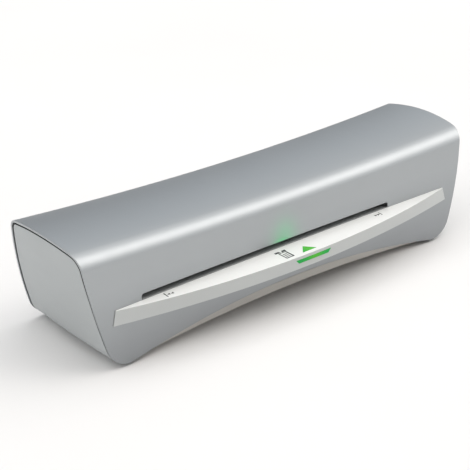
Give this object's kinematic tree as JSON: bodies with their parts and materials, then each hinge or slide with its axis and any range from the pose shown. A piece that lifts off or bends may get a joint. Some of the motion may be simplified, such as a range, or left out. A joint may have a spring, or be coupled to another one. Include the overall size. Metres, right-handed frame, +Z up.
{
  "type": "pouch laminator",
  "caption": "Compact desktop pouch laminator: silver sleeve casing with inset end caps, bowed white entry shelf, heated plates and a sprung pair of geared rollers.",
  "frame": {"origin": "centre of the bounding box in plan, on the floor plane under the rubber feet", "axes": "+X along the length, to the right when facing the entry slot; +Y the way the pouch travels, from the entry slot to the exit slot; +Z up"},
  "size_m": [0.384, 0.1204, 0.0945],
  "materials": {
    "sleeve": "satin silver-grey paint on moulded ABS",
    "tray": "matt warm grey moulded ABS",
    "end_cap": "fine matt light grey moulded ABS",
    "shelf": "smooth white moulded ABS",
    "light_green": "translucent green light pipe",
    "print_dark": "thin dark grey print",
    "guide_grey": "matt grey heat-resistant plastic",
    "black_plastic": "matt black moulded plastic",
    "dark_grey_plastic": "matt dark grey moulded plastic",
    "circuit_board": "green solder mask",
    "zinc_steel": "zinc-plated pressed sheet",
    "turned_steel": "ground bright steel",
    "screw_steel": "zinc-plated pan heads",
    "spring_steel": "blued spring steel",
    "heater_aluminium": "extruded, plain",
    "mica": "layered mica sheet",
    "ceramic": "unglazed ceramic",
    "bronze": "sintered bronze",
    "silicone": "ground silicone rubber",
    "gear_nylon": "natural nylon",
    "motor_can": "drawn zinc-plated can",
    "black_rubber": "matt black rubber"
  },
  "bodies": {
    "casing": {"top_cover": "sleeve", "base_tray": "tray", "left_end_cap": "end_cap", "right_end_cap": "end_cap", "entry_shelf": "shelf", "light_bar": "light_green", "feed_arrow": "light_green", "feed_symbols": "print_dark", "entry_guide": "guide_grey", "exit_guide": "guide_grey", "pouch_sensor": "black_plastic", "status_led": "light_green", "led_board": "circuit_board", "left_side_frame": "zinc_steel", "right_side_frame": "zinc_steel", "tie_rods": "turned_steel", "lower_heater_plate": "heater_aluminium", "upper_heater_plate": "heater_aluminium", "lower_heater_element": "mica", "upper_heater_element": "mica", "thermostat": "ceramic", "thermal_fuse": "ceramic", "heat_shield": "zinc_steel", "lower_bushes": "bronze", "pressure_springs": "turned_steel", "spring_seats": "black_plastic", "gear_motor": "motor_can", "motor_bracket": "zinc_steel", "bracket_standoffs": "turned_steel", "control_board": "circuit_board", "board_components": "black_plastic", "power_switch_body": "black_plastic", "cord_gland": "black_rubber", "rubber_feet": "black_rubber", "base_screws": "screw_steel", "frame_screws": "screw_steel"},
    "lower_roller": {"lower_roller_shaft": "turned_steel", "lower_roller_sleeve": "silicone", "lower_roller_gear": "gear_nylon", "retaining_clips": "spring_steel"},
    "upper_roller": {"upper_roller_shaft": "turned_steel", "upper_roller_sleeve": "silicone", "upper_roller_gear": "gear_nylon"},
    "carriage": {"bearing_blocks": "black_plastic", "lift_bar": "zinc_steel"},
    "release": {"release_shaft": "turned_steel", "release_lever": "dark_grey_plastic"},
    "drive": {"motor_gear": "gear_nylon", "motor_shaft": "turned_steel"},
    "rocker": {"power_rocker": "black_plastic"}
  },
  "joints": [
    {"name": "lower_roller_spin", "type": "hinge", "parent": "casing", "child": "lower_roller", "pos_m": [0, 0.03, 0.0379], "axis": [1, 0, 0], "continuous": true},
    {"name": "drive_spin", "type": "hinge", "parent": "casing", "child": "drive", "pos_m": [0.115, 0.0125, 0.03369], "axis": [1, 0, 0], "continuous": true},
    {"name": "release_turn", "type": "hinge", "parent": "casing", "child": "release", "pos_m": [0, 0.0425, 0.06715], "axis": [-1, 0, 0], "range_deg": [0, 35]},
    {"name": "carriage_lift", "type": "slide", "parent": "casing", "child": "carriage", "axis": [0, 0, 1], "range_m": [0, 0.0012], "deforming": ["pressure_springs"]},
    {"name": "upper_roller_spin", "type": "hinge", "parent": "carriage", "child": "upper_roller", "pos_m": [0, 0.03, 0.0579], "axis": [1, 0, 0], "continuous": true},
    {"name": "rocker_tilt", "type": "hinge", "parent": "casing", "child": "rocker", "pos_m": [0.148, 0.05263, 0.0659], "axis": [1, 0, 0], "range_deg": [-14, 0]}
  ],
  "couplings": [
    {"joint": "upper_roller_spin", "follows": "lower_roller_spin", "ratio": -1},
    {"joint": "drive_spin", "follows": "lower_roller_spin", "ratio": -1.25},
    {"joint": "release_turn", "follows": "carriage_lift", "rad_per_m": 509.05}
  ]
}
